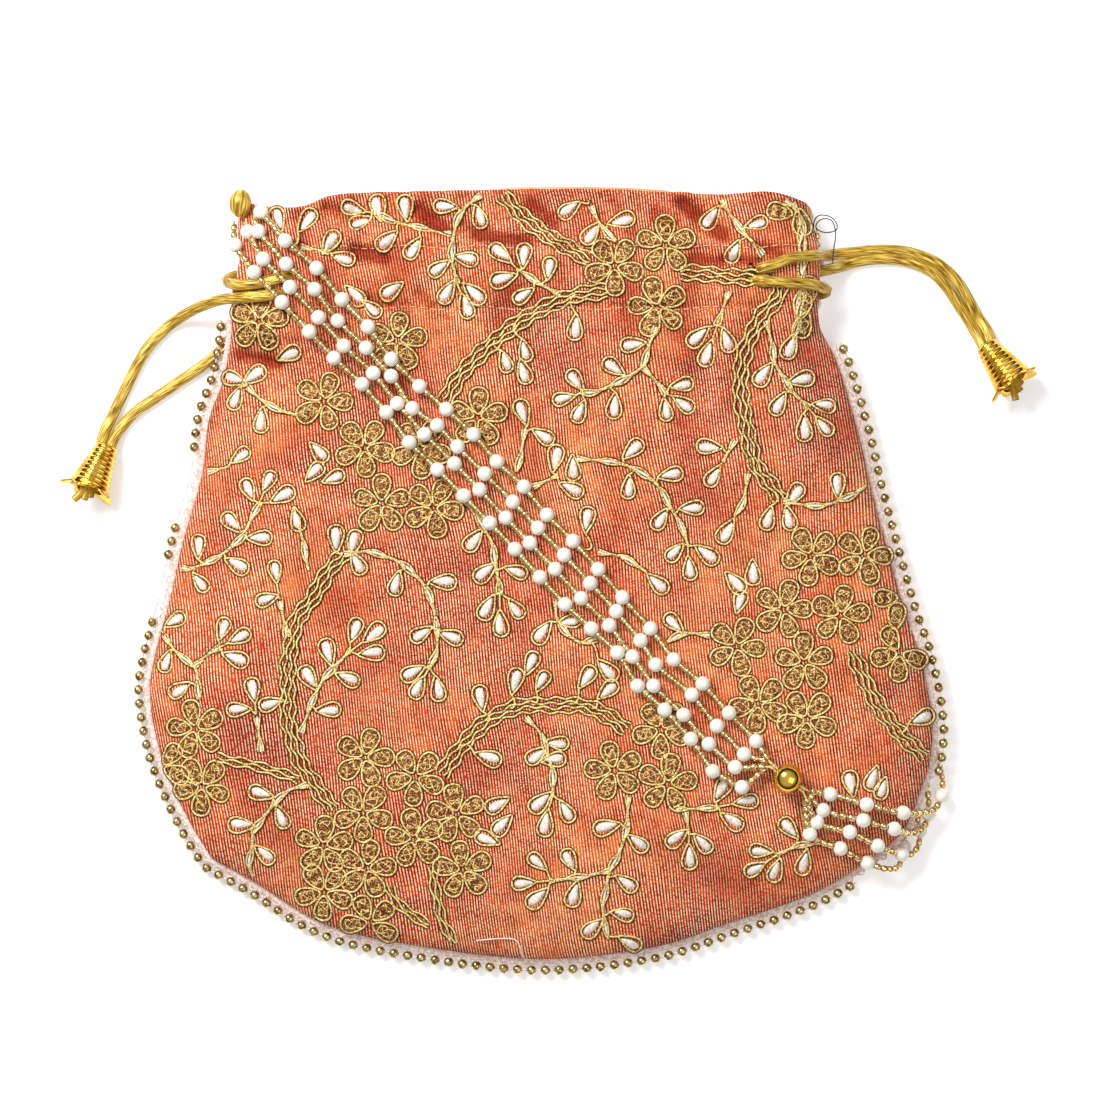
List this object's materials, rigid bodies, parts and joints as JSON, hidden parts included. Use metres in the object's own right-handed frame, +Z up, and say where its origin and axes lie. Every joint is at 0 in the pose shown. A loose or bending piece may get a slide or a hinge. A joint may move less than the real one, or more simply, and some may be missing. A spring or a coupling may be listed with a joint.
{
  "type": "potli bag",
  "caption": "Gathered drawstring evening pouch in embroidered silk with a beaded edge, lying on its back with its beaded wrist handle across the front.",
  "frame": {"origin": "on the floor, under the middle of the box of the bag with its seam trim; drawstrings, cones and handle strands don't count", "axes": "+Z up from the floor, +Y towards the bag's mouth, +X towards the side where the handle wraps round the edge"},
  "size_m": [0.2582, 0.2111, 0.0227],
  "materials": {
    "coral_silk": "ribbed tissue silk with a cream sheen along the ribs",
    "peach_satin": "smooth lining satin",
    "pink_lace": "matt crochet braid",
    "antique_brass": "darkened in the hollows",
    "gold_satin_cord": "twisted satin thread",
    "bright_gold": "polished gold plating",
    "white_beads": "glossy off-white beads between gold seed beads",
    "zari_gold": "couched metallic thread"
  },
  "bodies": {
    "root": {"back_panel": "coral_silk", "front_panel": "coral_silk", "lining": "peach_satin", "edge_braid": "pink_lace", "edge_beads_lower": "antique_brass", "edge_beads_right": "antique_brass", "drawstring_left": "gold_satin_cord", "drawstring_right": "gold_satin_cord", "cone_left": "bright_gold", "cone_right": "bright_gold", "handle_strand_1": "white_beads", "handle_strand_2": "white_beads", "handle_strand_3": "white_beads", "handle_strand_4": "white_beads", "handle_ball": "bright_gold", "handle_loop_left": "gold_satin_cord", "handle_loop_right": "gold_satin_cord", "zari_branch_1": "zari_gold", "zari_branch_2": "zari_gold", "zari_branch_3": "zari_gold", "zari_branch_4": "zari_gold", "zari_branch_5": "zari_gold", "zari_branch_6": "zari_gold", "zari_branch_7": "zari_gold", "zari_flower_01": "zari_gold", "zari_flower_02": "zari_gold", "zari_flower_03": "zari_gold", "zari_flower_04": "zari_gold", "zari_flower_05": "zari_gold", "zari_flower_06": "zari_gold", "zari_flower_07": "zari_gold", "zari_flower_08": "zari_gold", "zari_flower_09": "zari_gold", "zari_flower_10": "zari_gold", "zari_flower_11": "zari_gold", "zari_flower_12": "zari_gold", "zari_flower_13": "zari_gold", "zari_flower_14": "zari_gold", "zari_flower_15": "zari_gold", "zari_flower_16": "zari_gold", "zari_flower_17": "zari_gold", "zari_flower_18": "zari_gold", "zari_flower_19": "zari_gold", "zari_flower_20": "zari_gold", "zari_flower_21": "zari_gold", "zari_flower_22": "zari_gold", "zari_flower_23": "zari_gold", "zari_flower_24": "zari_gold", "zari_flower_25": "zari_gold", "zari_flower_26": "zari_gold"}
  },
  "joints": []
}
